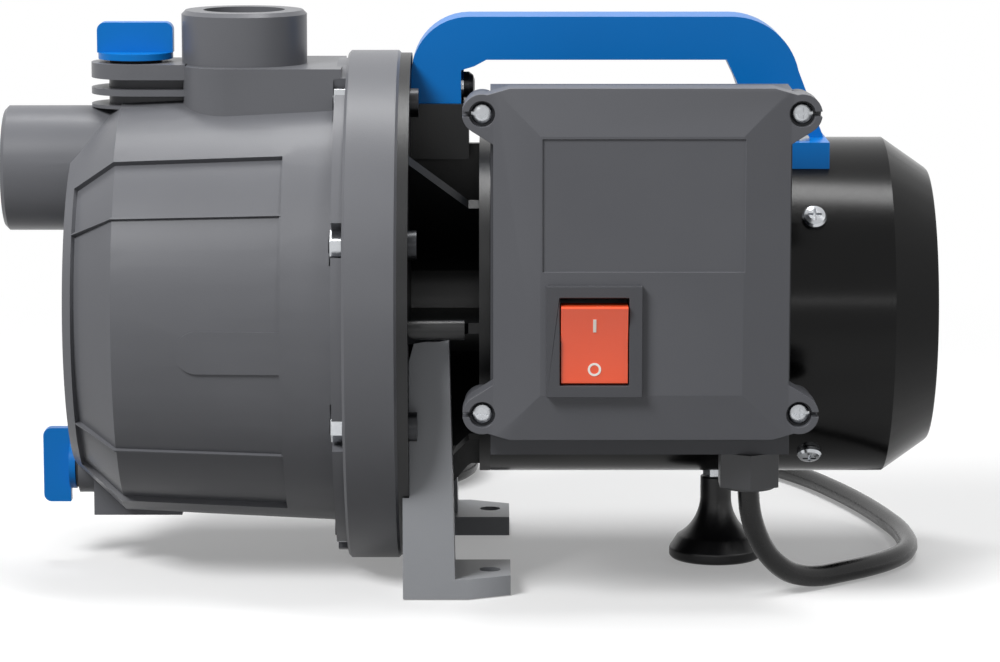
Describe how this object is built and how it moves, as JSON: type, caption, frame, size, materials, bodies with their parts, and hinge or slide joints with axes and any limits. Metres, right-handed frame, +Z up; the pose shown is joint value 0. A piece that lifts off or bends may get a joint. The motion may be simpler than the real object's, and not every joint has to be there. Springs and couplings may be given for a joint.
{
  "type": "garden jet pump",
  "caption": "Self-priming garden jet transfer pump with carry handle, switch box, screw ports, foot stand and a coiled mains lead.",
  "frame": {"origin": "on the floor, midway between the two foot bolt holes", "axes": "+X along the shaft from the pump to the motor, -Y towards the switch, +Z up"},
  "size_m": [0.354, 0.3471, 0.2139],
  "materials": {
    "casing_plastic": "fine moulded texture",
    "blue_plastic": "satin",
    "seal_rubber": "matte",
    "noryl": "matte",
    "brass": "machined",
    "stainless": "brushed",
    "zinc_screw": "bright zinc",
    "black_screw": "black zinc",
    "ceramic": "lapped",
    "carbon": "lapped",
    "bracket_black": "moulded",
    "stand_plastic": "fine moulded texture",
    "motor_enamel": "gloss",
    "lamination": "stacked sheet",
    "copper": "enamelled wire",
    "bearing_steel": "ground",
    "aluminium": "cast",
    "cover_plastic": "fine moulded texture",
    "base_plastic": "fine moulded texture",
    "rocker_plastic": "gloss",
    "cap_plastic": "gloss",
    "gland_plastic": "matte",
    "foot_rubber": "matte",
    "cord_pvc": "satin",
    "tie_nylon": "matte"
  },
  "bodies": {
    "pump": {"pump_casing": "casing_plastic", "ejector_body": "noryl", "ejector_nozzle": "brass", "diffuser": "noryl", "casing_oring": "seal_rubber", "seal_plate": "stainless", "mechanical_seal_seat": "ceramic", "motor_bracket": "bracket_black", "flange_bolts": "black_screw", "flange_nuts": "zinc_screw", "foot_stand": "stand_plastic", "foot_screws": "zinc_screw", "motor_shell": "motor_enamel", "stator_core": "lamination", "stator_windings": "copper", "front_bearing_outer": "bearing_steel", "rear_bearing_outer": "bearing_steel", "wave_washer": "bearing_steel", "rear_end_shield": "aluminium", "shield_screws": "zinc_screw", "tie_rods": "stainless", "fan_cover": "motor_enamel", "carry_handle": "blue_plastic", "handle_bolt": "black_screw", "handle_washer": "zinc_screw", "handle_rear_screws": "zinc_screw", "terminal_box_base": "base_plastic", "terminal_box_gasket": "seal_rubber", "terminal_box_cover": "cover_plastic", "cover_screws": "zinc_screw", "switch_housing": "base_plastic", "capacitor": "cap_plastic", "terminal_block": "cap_plastic", "cable_gland": "gland_plastic", "gland_seal": "seal_rubber", "foot_stud": "zinc_screw", "rear_rubber_foot": "foot_rubber", "power_cord": "cord_pvc", "cord_coil": "cord_pvc", "cord_tie": "tie_nylon", "mains_plug": "cord_pvc"},
    "rotor": {"impeller": "brass", "impeller_nut": "stainless", "mechanical_seal_head": "carbon", "mechanical_seal_spring": "stainless", "rotor_core": "lamination", "motor_shaft": "stainless", "front_bearing_inner": "bearing_steel", "rear_bearing_inner": "bearing_steel", "cooling_fan": "noryl"},
    "bearing_balls": {"front_bearing_balls": "bearing_steel", "rear_bearing_balls": "bearing_steel"},
    "filler_ring": {"filler_plug_oring": "seal_rubber"},
    "filler_wing": {"filler_plug": "blue_plastic"},
    "drain_ring": {"drain_plug_oring": "seal_rubber"},
    "drain_wing": {"drain_plug": "blue_plastic"},
    "rocker": {"switch_rocker": "rocker_plastic"}
  },
  "joints": [
    {"name": "rotor_spin", "type": "hinge", "parent": "pump", "child": "rotor", "pos_m": [0, 0, 0.1], "axis": [1, 0, 0], "continuous": true},
    {"name": "ball_orbit", "type": "hinge", "parent": "pump", "child": "bearing_balls", "pos_m": [0, 0, 0.1], "axis": [1, 0, 0], "continuous": true},
    {"name": "filler_lift", "type": "slide", "parent": "pump", "child": "filler_ring", "axis": [0, 0, 1], "range_m": [0, 0.01]},
    {"name": "filler_turn", "type": "hinge", "parent": "filler_ring", "child": "filler_wing", "pos_m": [-0.1357, 0, 0.194], "axis": [0, 0, 1], "range_deg": [0, 1800]},
    {"name": "drain_lift", "type": "slide", "parent": "pump", "child": "drain_ring", "axis": [-1, 0, 0], "range_m": [0, 0.008]},
    {"name": "drain_turn", "type": "hinge", "parent": "drain_ring", "child": "drain_wing", "pos_m": [-0.1595, 0, 0.037], "axis": [-1, 0, 0], "range_deg": [0, 1440]},
    {"name": "rocker_tilt", "type": "hinge", "parent": "pump", "child": "rocker", "pos_m": [0.0377, -0.098, 0.102], "axis": [1, 0, 0], "range_deg": [-14, 0]}
  ],
  "couplings": [
    {"joint": "ball_orbit", "follows": "rotor_spin", "ratio": 0.38},
    {"joint": "filler_turn", "follows": "filler_lift", "rad_per_m": 3141.6},
    {"joint": "drain_turn", "follows": "drain_lift", "rad_per_m": 3141.6}
  ]
}
